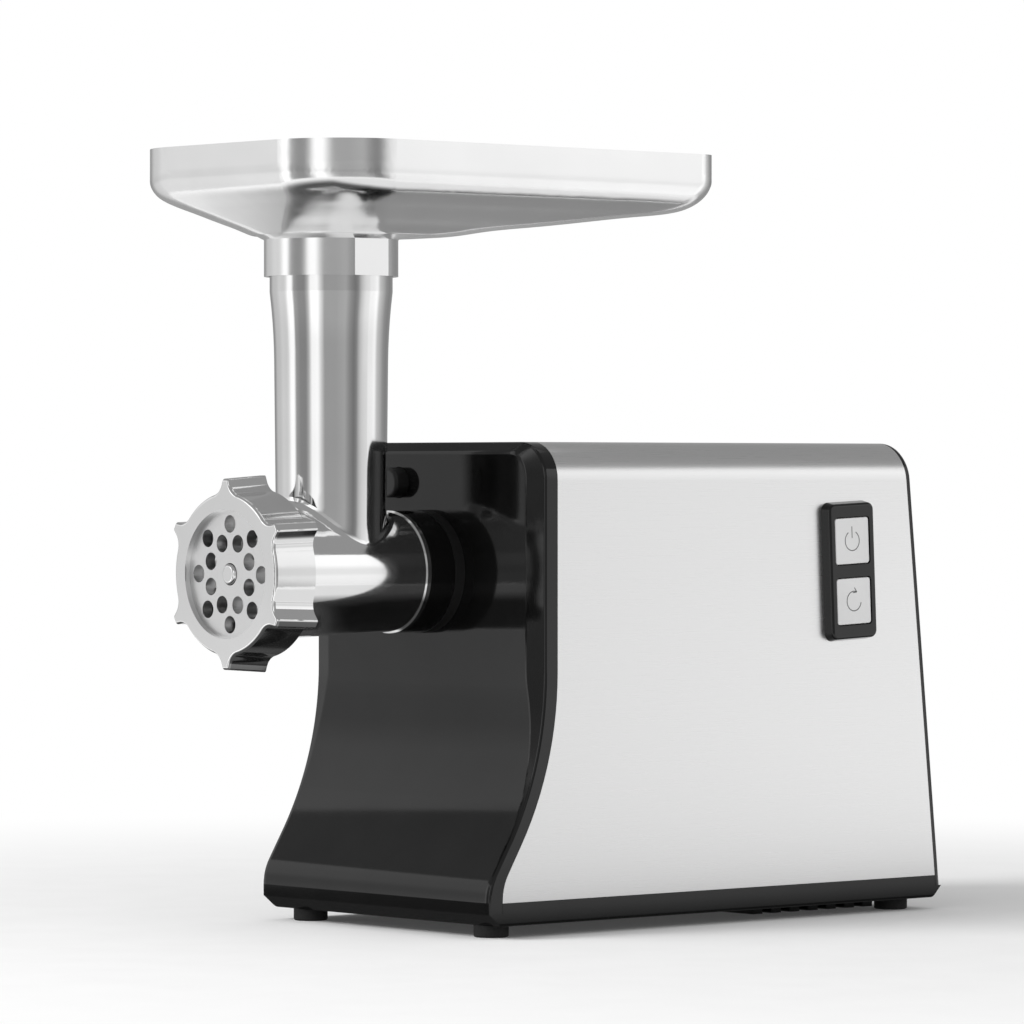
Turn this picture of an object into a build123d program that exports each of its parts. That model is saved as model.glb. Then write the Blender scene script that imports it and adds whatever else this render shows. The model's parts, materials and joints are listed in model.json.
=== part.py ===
"""Electric meat grinder: a moulded housing with a steel wrap, a geared motor and a cast grinding head.

Millimetres, +Z up, front of the machine towards -Y, push buttons on the +X side.
The origin lies on the table under the middle of the machine.
"""
import math
import os

from build123d import *

os.makedirs("parts", exist_ok=True)

# Clearances
slip_gap = 0.3  # curved faces that move past each other
running_gap = 0.05  # a shaft in its bush, on the radius
seat_gap = 0.2  # fixed pieces that slide together, on each side
seam_gap = 0.15  # the dark line between two covers
overcut = 1.0  # cutting forms run this far past the wall
pick = 1.0  # tolerance for choosing edges and corners by place

# Housing, outside
housing_width = 151.0
head_z = 152.4  # height of the barrel's axis
housing_rise = 55.3  # top of the housing above that axis
top_edge_radius = 16.0
corner_radius = 3.5  # rear cover and base pan
crease_z = 10.6  # the covers stand on the base pan here
base_z = 5.3  # underside of the base pan
face_y = -62.3  # front edges above the sweep
sweep_top_z = 111.0  # the hollow sweep of the front starts here
sweep_radius = 138.0
sweep_angle = 31.5
toe_y = -93.3  # foremost line of the front cover
toe_radius = 21.0
rear_y = 173.92  # rear wall at the crease
rear_lean = 5.83  # degrees off upright
cover_wall = 2.6
front_wall = 3.35

# Raised panel of the front face, with a shallow bevel round it
panel_rise = 2.3  # ahead of the front edges
panel_inset = 10.0  # width of the bevel at the sides
panel_brow = 4.2  # and at the top
panel_corner = 11.0
panel_bend_z = 104.0  # the panel starts its sweep here
panel_end_z = 57.0  # and runs out here
panel_lead = 0.5  # rise of the panel that stays below
panel_split_z = 130.0  # side bevels below, bevel round the top above
panel_soft = 4.0  # rounding between panel and bevel
edge_radius = 1.2

# Steel wrap and the shell that carries it
wrap_front_y = -55.6
wrap_sweep_top_z = 111.0
wrap_sweep_radius = 138.0
wrap_sweep_angle = 31.5
wrap_toe_y = -86.2
wrap_toe_radius = 21.0
wrap_bottom_z = 15.2
wrap_thickness = 1.0
shell_wall = 2.5
rear_band = 4.0  # width of the rear cover's edge, seen from the side

# Base pan, feet and vents
base_front_slope = 6.5  # how far the underside starts behind the toe
base_rear_slope = 5.2
base_inset = 0.3  # the pan stands in from the covers
base_floor = 2.6
foot_radius = 7.4
foot_spigot_radius = 3.0
foot_spigot_length = 2.2
foot_inset = 15.5  # foot axis in from the side
foot_front_y = -79.05
foot_rear_y = 156.95
rib_count = 7
rib_pitch = 11.2
rib_width = 6.5
rib_height = 3.0
rib_length = 36.0
rib_inset = 27.8  # middle of the ribs in from the side
rib_centre_y = 103.9
vent_width = 2.4

# Rear cover details
grille_slots = 7
grille_pitch = 8.0
grille_slot_height = 3.0
grille_width = 74.0
grille_centre_z = 125.0
gland_z = 38.0
gland_radius = 9.0
gland_bore = 3.6
gland_flange = 2.4  # rim of the gland beyond its hole
gland_head = 2.0  # thickness of the gland's rim

# Screws of the base and the gearbox
boss_radius = 4.6
screw_radius = 1.7
screw_head_radius = 3.2
screw_head_height = 1.9
base_screw_length = 14.0
base_boss_height = 26.0
base_screw_y = (-40.0, 132.0)
lug_radius = 6.0

# Grinding head
socket_ring_length = 5.3
socket_reach = 18.45  # socket front ahead of the panel
socket_radius = 26.2
socket_ring_radius = 26.4
socket_wall = 3.3
socket_tail_step = 1.6  # the tail is this much smaller than the front of the socket
socket_flange_radius = 32.5
socket_flange = 2.5
head_length = 88.0  # plate front to head flange
head_flange_radius = 26.2
head_flange = 2.0
neck_length = 24.0
neck_wall = 6.0
barrel_rear_radius = 25.6
barrel_front_radius = 27.4
barrel_bore = 22.6
barrel_rear_wall = 6.0
bell_radius = 31.5
bell_rear = 16.0  # distance behind the plate front
bell_taper = 4.0
bell_front = 1.0
chamber_radius = 28.6
chamber_depth = 9.0
throat_radius = 20.5
throat_foot_radius = 19.6  # where it opens into the barrel
throat_taper = 3.0
feed_offset = 33.5  # feed tube axis ahead of the head flange
tube_foot_radius = 23.2
tube_waist_radius = 24.1
tube_band_radius = 26.0
throat_straight = 104.0  # straight part of the throat, from the top down
tube_waist_rise = 89.6  # heights above the barrel's axis
tube_flare_rise = 118.6
tube_band_rise = 124.8
tube_rise = 137.6
tube_root_fillet = 5.0

# Grinding plate, ring nut and blade
plate_radius = 29.9
plate_thickness = 5.0
plate_hole_radius = 3.68
plate_hole_rings = ((21.0, 90.0), (13.8, 112.5))  # circle radius, first angle
plate_holes_per_ring = 8
nut_lip = 2.75  # nut front ahead of the plate front
nut_length = 20.25
nut_mouth_radius = 27.0
nut_ring_front = 33.9
nut_ring_rear = 35.2
nut_tip_front = 39.8
nut_tip_rear = 41.2
nut_edge = 1.3
nut_lobes = 6
grip_top = 1.9  # half widths of a grip
grip_foot = 5.0
grip_spread = 1.5  # its foot widens inwards by this much
grip_hollow = 7.0
grip_corner = 1.0
thread_gap = 0.5
blade_radius = 27.4
blade_thickness = 6.0
blade_arm = 8.0
blade_hub_radius = 10.5
blade_arms = 4

# Auger and drive
auger_core_radius = 8.4
auger_gap = 0.6
auger_pitch = 25.0
auger_flight = 5.0  # thickness of the flight
flight_root = 1.0  # depth of the flight in the core
auger_start = 13.2  # behind the plate front
auger_disc_radius = 17.0
auger_disc = 2.0
washer_thickness = 1.7
journal_radius = 8.7
pin_radius = 4.4
pin_reach = 1.2  # tip of the pin ahead of the plate front
square_front = 8.6
square_tail = 11.0
coupling_radius = 14.0
coupling_front = 8.0  # behind the head flange
coupling_length = 25.0
shaft_radius = 8.0
coupling_grip = 8.0  # length of the shaft held in the coupling
bush_wall = 3.0

# Gearbox
case_plate = 4.0
case_wall = 3.0
gear_room = 1.6  # between gear tips and the case
layer_gap = 2.0  # between rows of gears
row_3_width = 12.0
row_2_width = 9.0
row_1_width = 7.0
pinion_teeth = 12
gear_a_teeth = 60
gear_b_teeth = 48
output_teeth = 46
module_1 = 1.0
module_2 = 1.25
module_3 = 1.5
pressure_angle = 25.0
backlash = 0.16
addendum = 0.95
dedendum = 1.25
mesh_angle_output = -117.4  # direction from the output axis to gear B
mesh_angle_middle = -25.0  # from gear B to gear A
mesh_angle_motor = -112.9  # from gear A to the motor
axle_radius = 3.5
gear_hub_radius = 5.2
axle_seat = 2.5  # depth of the axle ends in the case
lug_reach = 4.0  # screw lugs beyond the case
output_lug_angles = (40.0, 140.0)
lug_angle_a = -60.0
lug_angle_b = 215.0

# Motor
motor_gap = 26.0  # stator behind the gearbox cover
stator_radius = 39.0
stator_yoke = 7.0
stator_length = 36.0
pole_neck = 18.0
pole_shoe = 30.0
pole_shoe_height = 2.0
armature_radius = 21.0
air_gap = 0.6
armature_slots = 12
slot_width = 3.0
slot_depth = 5.0
winding_radius = 17.5
winding_length = 7.5
winding_room = 1.0  # between the windings and the commutator
motor_shaft_radius = 4.0
motor_bush_length = 8.0
commutator_radius = 11.0
commutator_length = 12.0
brush_width = 6.0
brush_height = 5.0
brush_length = 13.0
brush_proud = 2.0  # the brush stands out of its box
bracket_room = 2.0  # between the commutator and the bracket
bracket_thickness = 5.0
bracket_arm = 12.0
fan_radius = 30.0
fan_blades = 9
fan_depth = 12.0
fan_hub_radius = 8.0
fan_room = 4.0  # between the bracket and the fan
fan_disc = 2.0
fan_blade = 1.6
shaft_stub = 2.0  # the motor shaft ends this far behind the fan
tie_rod_radius = 2.0
coil_height = 5.0
coil_side = 4.0

# Buttons
bezel_y = 114.17
bezel_z = 151.6
bezel_tilt = 2.5
bezel_width = 29.0
bezel_height = 61.0
bezel_rise = 4.5
bezel_draft = 12.5
bezel_corner = 4.0
bezel_edge = 1.4
bezel_wall = 1.6
button_width = 20.7
button_height = 20.5
button_corner = 1.5
button_space = 6.0
button_set_back = 0.3
button_travel = 2.0
button_flange = 1.0
button_flange_thickness = 1.4
board_thickness = 1.6
board_width = 30.0
board_height = 76.0
tact_height = 3.1
tact_size = 6.0
post_radius = 2.6
post_margin = 4.0

# Lock button
lock_x = -17.5
lock_rise = 38.1  # above the barrel's axis
lock_radius = 6.5
lock_reach = 6.95
lock_travel = 3.0
lock_collar = 1.6
lock_collar_thickness = 2.5
lock_arm_width = 9.0
lock_arm_thickness = 2.5
lock_room = 2.1  # between the pressed lock and the gearbox

# Tray
tray_half_width = 72.0
tray_front = 58.9  # ahead of the feed axis
tray_rear = 160.5  # behind the feed axis
tray_front_corner = 35.0
tray_rear_corner = 13.5
tray_rim_rise = 41.8  # heights above the top of the feed tube
tray_front_edge_rise = 23.8  # where the wall and the funnel would meet without the bend
tray_side_edge_rise = 21.2
tray_rear_edge_rise = 18.1
collar_rise = 3.0
collar_length = 15.5
tray_bend = 12.0
tray_levels = (0.0, 0.07, 0.16, 0.26, 0.36, 0.46, 0.55, 0.63, 0.71, 0.8, 0.9, 1.0)  # sections of the funnel
wall_levels = (1.0, 2.0)  # and of the wall, above the bend
tray_sheet = 1.8
collar_radius = 28.4
collar_flat = 26.9
neck_flat = 0.2  # half of the flats on the four sides of the neck

# Heights
housing_top_z = head_z + housing_rise
lock_z = head_z + lock_rise
tube_waist_z = head_z + tube_waist_rise
tube_flare_z = head_z + tube_flare_rise
tube_band_z = head_z + tube_band_rise
tube_top_z = head_z + tube_rise
throat_lead_z = tube_top_z - throat_straight
tray_rim_z = tube_top_z + tray_rim_rise
collar_top_z = tube_top_z + collar_rise
collar_bottom_z = collar_top_z - collar_length

# Stations along Y
half_width = housing_width / 2
foot_x = half_width - foot_inset
rib_centre_x = half_width - rib_inset
far_reach = 2 * max(-toe_y, rear_y)  # cutting forms reach past the machine
panel_y = face_y - panel_rise
inner_face_y = face_y + front_wall
ring_front_y = panel_y - socket_ring_length
socket_front_y = panel_y - socket_reach
plate_y = socket_front_y - head_length
feed_y = socket_front_y - feed_offset
lock_collar_y = inner_face_y + slip_gap
lock_arm_y = lock_collar_y + lock_collar_thickness
case_front_y = lock_arm_y + lock_arm_thickness + lock_travel + lock_room
row_3_y = case_front_y + case_plate + layer_gap
row_2_y = row_3_y + row_3_width + layer_gap
row_1_y = row_2_y + row_2_width + layer_gap
case_rear_y = row_1_y + row_1_width + layer_gap
cover_rear_y = case_rear_y + case_plate
stator_y = cover_rear_y + motor_gap
commutator_y = stator_y + stator_length + winding_length + winding_room
bracket_y = commutator_y + commutator_length + bracket_room
fan_y = bracket_y + bracket_thickness + fan_room
motor_shaft_end_y = fan_y + fan_depth + shaft_stub

# Axes along Y, as (x, z)
distance_3 = module_3 * (output_teeth + pinion_teeth) / 2
distance_2 = module_2 * (gear_b_teeth + pinion_teeth) / 2
distance_1 = module_1 * (gear_a_teeth + pinion_teeth) / 2


def polar(centre, radius, degrees):
    """Point at a distance and direction from a centre."""
    turn = math.radians(degrees)
    return (centre[0] + radius * math.cos(turn), centre[1] + radius * math.sin(turn))


output_axis = (0.0, head_z)
axis_b = polar(output_axis, distance_3, mesh_angle_output)
axis_a = polar(axis_b, distance_2, mesh_angle_middle)
motor_axis = polar(axis_a, distance_1, mesh_angle_motor)

case_radius_out = module_3 * (output_teeth / 2 + addendum) + gear_room + case_wall
case_radius_b = module_2 * (gear_b_teeth / 2 + addendum) + gear_room + case_wall
case_radius_a = module_1 * (gear_a_teeth / 2 + addendum) + gear_room + case_wall
case_radius_m = module_1 * (pinion_teeth / 2 + addendum) + gear_room + case_wall
case_circles = (
    (output_axis, case_radius_out),
    (axis_b, case_radius_b),
    (axis_a, case_radius_a),
    (motor_axis, case_radius_m),
)
lugs = [polar(output_axis, case_radius_out + lug_reach, angle) for angle in output_lug_angles]
lugs.append(polar(axis_a, case_radius_a + lug_reach, lug_angle_a))
lugs.append(polar(axis_b, case_radius_b + lug_reach, lug_angle_b))


def facing(y, centre=(0.0, 0.0)):
    """Plane across the machine at a station along Y: local x is X, local y is Z, normal to the front."""
    return Plane.XZ.offset(-y) * Location((centre[0], centre[1], 0))


def turn(points, centre=output_axis, mode=Mode.ADD):
    """Revolve a half outline of (y, radius) points about an axis along Y."""
    with BuildSketch(Plane(origin=(centre[0], 0, centre[1]), x_dir=(0, 1, 0), z_dir=(1, 0, 0))) as half:
        with BuildLine():
            Polyline(*points, close=True)
        make_face()
    revolve(half.sketch, axis=Axis((centre[0], 0, centre[1]), (0, 1, 0)), mode=mode)


def tube(y0, y1, outer, inner=0.0, centre=output_axis, mode=Mode.ADD):
    """Plain ring or rod along Y."""
    turn([(y0, inner), (y1, inner), (y1, outer), (y0, outer)], centre, mode)


def swept_edge(face, bend_z, radius, angle, toe, nose, low, high):
    """Front line of a side profile, downwards: upright, hollow sweep, slope, rounded toe, upright."""
    rad = math.radians(angle)
    sweep_end = (face - radius * (1 - math.cos(rad)), bend_z - radius * math.sin(rad))
    nose_y = toe + nose * (1 - math.cos(rad))
    nose_start = (nose_y, sweep_end[1] - (sweep_end[0] - nose_y) / math.tan(rad))
    nose_end = (toe, nose_start[1] - nose * math.sin(rad))
    Line((face, high), (face, bend_z))
    TangentArc((face, bend_z), sweep_end, tangent=(0, -1))
    Line(sweep_end, nose_start)
    TangentArc(nose_start, nose_end, tangent=(-math.sin(rad), -math.cos(rad)))
    Line(nose_end, (toe, low))


def rear_line_y(z, inset):
    """Where the leaning rear wall stands at a height."""
    return rear_y - (z - crease_z) * math.tan(math.radians(rear_lean)) - inset


def panel_edge(low, high):
    """Front line of the raised panel: upright, its own sweep, then a little ahead of the front edges."""
    rad = math.radians(sweep_angle)
    end_turn = math.asin((sweep_top_z - panel_end_z) / sweep_radius)
    run_out = (face_y - panel_lead - sweep_radius * (1 - math.cos(end_turn)), panel_end_z)
    sweep_end = (
        face_y - panel_lead - sweep_radius * (1 - math.cos(rad)), sweep_top_z - sweep_radius * math.sin(rad)
    )
    toe = toe_y - panel_lead
    nose_y = toe + toe_radius * (1 - math.cos(rad))
    nose_start = (nose_y, sweep_end[1] - (sweep_end[0] - nose_y) / math.tan(rad))
    nose_end = (toe, nose_start[1] - toe_radius * math.sin(rad))
    Line((panel_y, high), (panel_y, panel_bend_z))
    TangentArc((panel_y, panel_bend_z), run_out, tangent=(0, -1))
    TangentArc(run_out, sweep_end, tangent=(-math.sin(end_turn), -math.cos(end_turn)))
    Line(sweep_end, nose_start)
    TangentArc(nose_start, nose_end, tangent=(-math.sin(rad), -math.cos(rad)))
    Line(nose_end, (toe, low))


def panelled_block():
    """The closed form of the housing above the crease, with the raised panel still square at its edges."""
    with BuildPart() as block:
        with BuildSketch(Plane.YZ):
            with BuildLine():
                panel_edge(crease_z, housing_top_z)
                Polyline(
                    (toe_y - panel_lead, crease_z), (rear_line_y(crease_z, 0.0), crease_z),
                    (rear_line_y(housing_top_z, 0.0), housing_top_z), (panel_y, housing_top_z),
                )
            make_face()
        extrude(amount=half_width, both=True)
        fillet(block.edges().filter_by(Axis.Y).group_by(Axis.Z)[-1], top_edge_radius)
        rear_rim = block.faces().sort_by(Axis.Y)[-1].edges()
        fillet(rear_rim.filter_by(lambda e: e.center().Z > crease_z + pick), corner_radius)
    return block.part


def hollow_block(inset, front_inset):
    """The form of the housing brought in by a wall."""
    half = half_width - inset
    top = housing_top_z - inset
    face = face_y + front_inset
    toe = toe_y + front_inset
    with BuildPart() as block:
        with BuildSketch(Plane.YZ):
            with BuildLine():
                swept_edge(
                    face, sweep_top_z, sweep_radius + front_inset, sweep_angle,
                    toe, toe_radius - front_inset, crease_z, top,
                )
                Polyline(
                    (toe, crease_z), (rear_line_y(crease_z, inset), crease_z),
                    (rear_line_y(top, inset), top), (face, top),
                )
            make_face()
        extrude(amount=half, both=True)
        fillet(block.edges().filter_by(Axis.Y).group_by(Axis.Z)[-1], top_edge_radius - inset)
    return block.part


def bevel_round_top():
    """What the bevel takes off ahead of the front edges, round the top and the upper sides."""
    past = 0.4  # the cut runs past the panel by this share of its rise
    with BuildPart() as frustum:
        for share in (0.0, 1 + past):
            width = housing_width - 2 * share * panel_inset
            height = housing_top_z - share * panel_brow - crease_z
            with BuildSketch(facing(face_y - share * panel_rise)) as section:
                with Locations((0, crease_z)):
                    Rectangle(width, height, align=(Align.CENTER, Align.MIN))
                corner = top_edge_radius + share * (panel_corner - top_edge_radius)
                fillet(section.vertices().group_by(Axis.Y)[-1], corner)
        loft(ruled=True)
    with BuildPart() as cut:
        with BuildSketch(facing(face_y)):
            with Locations((0, panel_split_z)):
                Rectangle(2 * housing_width, housing_top_z, align=(Align.CENTER, Align.MIN))
        extrude(amount=(1 + past) * panel_rise)
        add(frustum.part, mode=Mode.SUBTRACT)
    return cut.part


def bevel_of_side(side):
    """What the bevel takes off along one side below that."""
    slope = panel_rise / panel_inset
    far = -far_reach
    with BuildPart() as cut:
        with BuildSketch(Plane.YZ.offset(side * half_width)) as ahead:
            with BuildLine():
                swept_edge(
                    face_y, sweep_top_z, sweep_radius, sweep_angle, toe_y, toe_radius, 0, panel_split_z
                )
                Polyline((toe_y, 0), (far, 0), (far, panel_split_z), (face_y, panel_split_z))
            make_face()
        lean = Vector(-side, -slope, 0)
        extrude(ahead.sketch, amount=half_width * lean.length, dir=lean.normalized())
    return cut.part


def on_front_rim(edge):
    """Outer edge of the bevel, at the sides and the top."""
    middle = edge.center()
    on_crease = max((edge @ 0).Z, (edge @ 1).Z) < crease_z + pick / 10
    at_side = abs(middle.X) > half_width - pick / 10 and middle.Y < face_y + pick / 10
    at_top = abs(middle.Y - face_y) < pick / 10 and middle.Z > housing_top_z - top_edge_radius
    return (at_side or at_top) and not on_crease


def on_panel_rim(edge):
    """Inner edge of the bevel, round the panel."""
    ends = (edge @ 0, edge @ 1)
    low = max(end.Z for end in ends)
    across = abs(ends[0].X - ends[1].X) > half_width and low < housing_top_z - top_edge_radius
    on_crease = low < crease_z + pick / 10
    inner = half_width - panel_inset - pick / 2
    top = housing_top_z - panel_brow - panel_corner - pick
    on_rim = [
        end.Y < panel_y + pick / 10 and (inner < abs(end.X) < half_width - pick or end.Z > top)
        for end in ends
    ]
    return all(on_rim) and not across and not on_crease


def finished_block():
    """The closed form of the housing with the bevel cut and its edges softened."""
    with BuildPart() as block:
        add(panelled_block())
        add(bevel_round_top(), mode=Mode.SUBTRACT)
        for side in (-1, 1):
            add(bevel_of_side(side), mode=Mode.SUBTRACT)
        fillet(block.edges().filter_by(on_front_rim), edge_radius)
        fillet(block.edges().filter_by(on_panel_rim), panel_soft)
    return block.part


def ahead_of_wrap(shift):
    """Everything ahead of the wrap's front edge, moved back by a shift."""
    far = -far_reach
    with BuildPart() as zone:
        with BuildSketch(Plane.YZ):
            with BuildLine():
                swept_edge(
                    wrap_front_y + shift, wrap_sweep_top_z, wrap_sweep_radius + shift, wrap_sweep_angle,
                    wrap_toe_y + shift, wrap_toe_radius - shift, 0, housing_top_z + overcut,
                )
                Polyline(
                    (wrap_toe_y + shift, 0), (far, 0),
                    (far, housing_top_z + overcut), (wrap_front_y + shift, housing_top_z + overcut),
                )
            make_face()
        extrude(amount=housing_width, both=True)
    return zone.part


def behind_wrap(shift):
    """Everything behind the wrap's rear edge, moved back by a shift."""
    far = far_reach
    low = 0.0
    high = housing_top_z + overcut
    with BuildPart() as zone:
        with BuildSketch(Plane.YZ):
            with BuildLine():
                Polyline(
                    (rear_line_y(low, rear_band - shift), low), (far, low), (far, high),
                    (rear_line_y(high, rear_band - shift), high), close=True,
                )
            make_face()
        extrude(amount=housing_width, both=True)
    return zone.part


def arch(inset, low):
    """Tunnel form with rounded shoulders, longer than the machine."""
    with BuildPart() as form:
        with BuildSketch(facing(-far_reach)) as section:
            with Locations((0, low)):
                Rectangle(
                    housing_width - 2 * inset, housing_top_z - inset - low,
                    align=(Align.CENTER, Align.MIN),
                )
            fillet(section.vertices().group_by(Axis.Y)[-1], top_edge_radius - inset)
        extrude(amount=-2 * far_reach)
    return form.part


def bosses(y0, y1, radius, centres):
    """Round posts along Y."""
    with BuildPart() as posts:
        for centre in centres:
            tube(y0, y1, radius, 0.0, centre)
    return posts.part


def involute_turn(radius, base):
    """Angle of an involute at a radius, in degrees."""
    ratio = math.sqrt(max((radius / base) ** 2 - 1, 0.0))
    return math.degrees(ratio - math.atan(ratio))


def gear_outline(module, teeth, first_tooth):
    """Corner points of a spur gear with one tooth centred on a direction."""
    pitch = module * teeth / 2
    base = pitch * math.cos(math.radians(pressure_angle))
    tip = pitch + addendum * module
    root = pitch - dedendum * module
    start = max(base, root)
    half_pitch = 90 / teeth - math.degrees(backlash / 2 / pitch) + involute_turn(pitch, base)
    flank = [(radius, half_pitch - involute_turn(radius, base)) for radius in (start, (start + tip) / 2, tip)]
    if root < base:
        flank.insert(0, (root, flank[0][1]))
    side = [(radius, -half) for radius, half in flank] + [(radius, half) for radius, half in reversed(flank)]
    step = 360 / teeth
    return [
        polar((0.0, 0.0), radius, first_tooth + tooth * step + angle)
        for tooth in range(teeth)
        for radius, angle in side
    ]


def gear(y, width, module, teeth, first_tooth, centre):
    """Spur gear about an axis along Y."""
    with BuildSketch(facing(y, centre)) as wheel:
        with BuildLine():
            Polyline(*gear_outline(module, teeth, first_tooth), close=True)
        make_face()
    extrude(wheel.sketch, amount=-width)


# Front cover: the gloss black face with its raised panel, its sweep and its toe
cover_block = finished_block()
cover_hollow = hollow_block(cover_wall, front_wall)
front_zone = ahead_of_wrap(0.0)
socket_tail_radius = socket_radius - socket_tail_step
boss_block = hollow_block(cover_wall / 2, front_wall / 2)
cover_posts = bosses(toe_y, case_front_y, boss_radius, lugs) & boss_block

with BuildPart() as front_cover:
    add(cover_block)
    add(front_zone, mode=Mode.INTERSECT)
    add(cover_hollow, mode=Mode.SUBTRACT)
    add(cover_posts)
    tube(panel_y - overcut, inner_face_y + overcut, socket_tail_radius + seat_gap, mode=Mode.SUBTRACT)
    tube(
        panel_y - overcut, inner_face_y + overcut, lock_radius + slip_gap,
        centre=(lock_x, lock_z), mode=Mode.SUBTRACT,
    )
    for lug in lugs:
        tube(inner_face_y, case_front_y, screw_radius, centre=lug, mode=Mode.SUBTRACT)

# Steel wrap: one bent sheet over both sides and the top
wrap_front_zone = ahead_of_wrap(seam_gap)
wrap_rear_zone = behind_wrap(-seam_gap)
wrap_outer = arch(0.0, wrap_bottom_z)
wrap_inner = arch(wrap_thickness, wrap_bottom_z)
bezel_plane = Plane(
    origin=(half_width, bezel_y, bezel_z),
    x_dir=(0, math.cos(math.radians(bezel_tilt)), math.sin(math.radians(bezel_tilt))),
    z_dir=(1, 0, 0),
)
skirt_width = button_width + 2 * (slip_gap + bezel_wall)
skirt_height = 2 * button_height + button_space + 2 * (slip_gap + bezel_wall)
shell_depth = wrap_thickness + seat_gap + shell_wall

with BuildPart() as steel_wrap:
    add(wrap_outer)
    add(wrap_inner, mode=Mode.SUBTRACT)
    add(wrap_front_zone, mode=Mode.SUBTRACT)
    add(wrap_rear_zone, mode=Mode.SUBTRACT)
    with BuildSketch(bezel_plane):
        Rectangle(skirt_width + 2 * seat_gap, skirt_height + 2 * seat_gap)
    extrude(amount=shell_depth, both=True, mode=Mode.SUBTRACT)

# Body shell: the moulded arch under the wrap, with a ledge below it, posts and screw bosses
shell_outer = arch(wrap_thickness + seat_gap, crease_z)
shell_inner = arch(shell_depth, crease_z)
shell_inner_x = half_width - shell_depth
board_x = half_width - bezel_rise - button_flange_thickness - 2 * slip_gap - button_travel - tact_height
base_boss_x = shell_inner_x - boss_radius + shell_wall / 2
base_screws_at = [(side * base_boss_x, y) for side in (-1, 1) for y in base_screw_y]
posts_at = [
    (side_y * (board_width / 2 - post_margin), side_z * (board_height / 2 - post_margin))
    for side_y in (-1, 1)
    for side_z in (-1, 1)
]

with BuildPart() as body_shell:
    add(shell_outer)
    with BuildSketch(Plane.XY.offset(crease_z)):
        Rectangle(housing_width, 2 * far_reach)
    extrude(amount=wrap_bottom_z - crease_z - seam_gap)
    add(shell_inner, mode=Mode.SUBTRACT)
    add(wrap_front_zone, mode=Mode.SUBTRACT)
    add(wrap_rear_zone, mode=Mode.SUBTRACT)
    with BuildSketch(Plane.XY.offset(crease_z)):
        with Locations(*base_screws_at):
            Circle(boss_radius)
    extrude(amount=base_boss_height)
    with BuildSketch(bezel_plane.offset(board_x - half_width)):
        with Locations(*posts_at):
            Circle(post_radius)
    extrude(amount=shell_inner_x - board_x + shell_wall / 2)
    with BuildSketch(Plane.XY.offset(crease_z)):
        with Locations(*base_screws_at):
            Circle(screw_radius)
    extrude(amount=base_screw_length, mode=Mode.SUBTRACT)
    with BuildSketch(bezel_plane):
        Rectangle(skirt_width + 2 * seat_gap, skirt_height + 2 * seat_gap)
    extrude(amount=-(shell_depth + overcut), mode=Mode.SUBTRACT)

# Rear cover with its cooling grille and the hole for the gland
rear_zone = behind_wrap(0.0)
rear_plane = Plane(
    origin=(0, rear_line_y(grille_centre_z, 0.0), grille_centre_z),
    x_dir=(-1, 0, 0),
    z_dir=(0, math.cos(math.radians(rear_lean)), math.sin(math.radians(rear_lean))),
)
gland_plane = Plane(
    origin=(0, rear_line_y(gland_z, 0.0), gland_z), x_dir=(-1, 0, 0), z_dir=rear_plane.z_dir
)

with BuildPart() as rear_cover:
    add(cover_block)
    add(cover_hollow, mode=Mode.SUBTRACT)
    add(rear_zone, mode=Mode.INTERSECT)
    with BuildSketch(rear_plane):
        with GridLocations(grille_width / 2 + grille_pitch, grille_pitch, 2, grille_slots):
            SlotOverall(grille_width / 2, grille_slot_height)
    extrude(amount=-2 * cover_wall, mode=Mode.SUBTRACT)
    with BuildSketch(gland_plane):
        Circle(gland_radius - gland_flange)
    extrude(amount=-2 * cover_wall, mode=Mode.SUBTRACT)

# Cord gland: the bush in the rear wall
with BuildPart() as cord_gland:
    with BuildSketch(gland_plane):
        Circle(gland_radius)
    extrude(amount=gland_head)
    fillet(cord_gland.edges().group_by(Axis.Y)[-1], gland_head / 3)
    with BuildSketch(gland_plane):
        Circle(gland_radius - gland_flange - seat_gap)
    extrude(amount=-(cover_wall + gland_head))
    with BuildSketch(gland_plane.offset(gland_head)):
        Circle(gland_bore)
    extrude(amount=-(cover_wall + 3 * gland_head), mode=Mode.SUBTRACT)

# Base pan with vents, ribs, foot seats and screw holes
pan_front_y = toe_y + base_inset
pan_rear_y = rear_y - base_inset
foot_places = [(side * foot_x, y) for side in (-1, 1) for y in (foot_front_y, foot_rear_y)]
rib_ys = [rib_centre_y + (n - (rib_count - 1) / 2) * rib_pitch for n in range(rib_count)]
rib_places = [(side * rib_centre_x, y) for side in (-1, 1) for y in rib_ys]
vent_places = [(x, y + rib_pitch / 2) for x, y in rib_places if y < rib_ys[-1]]

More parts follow.
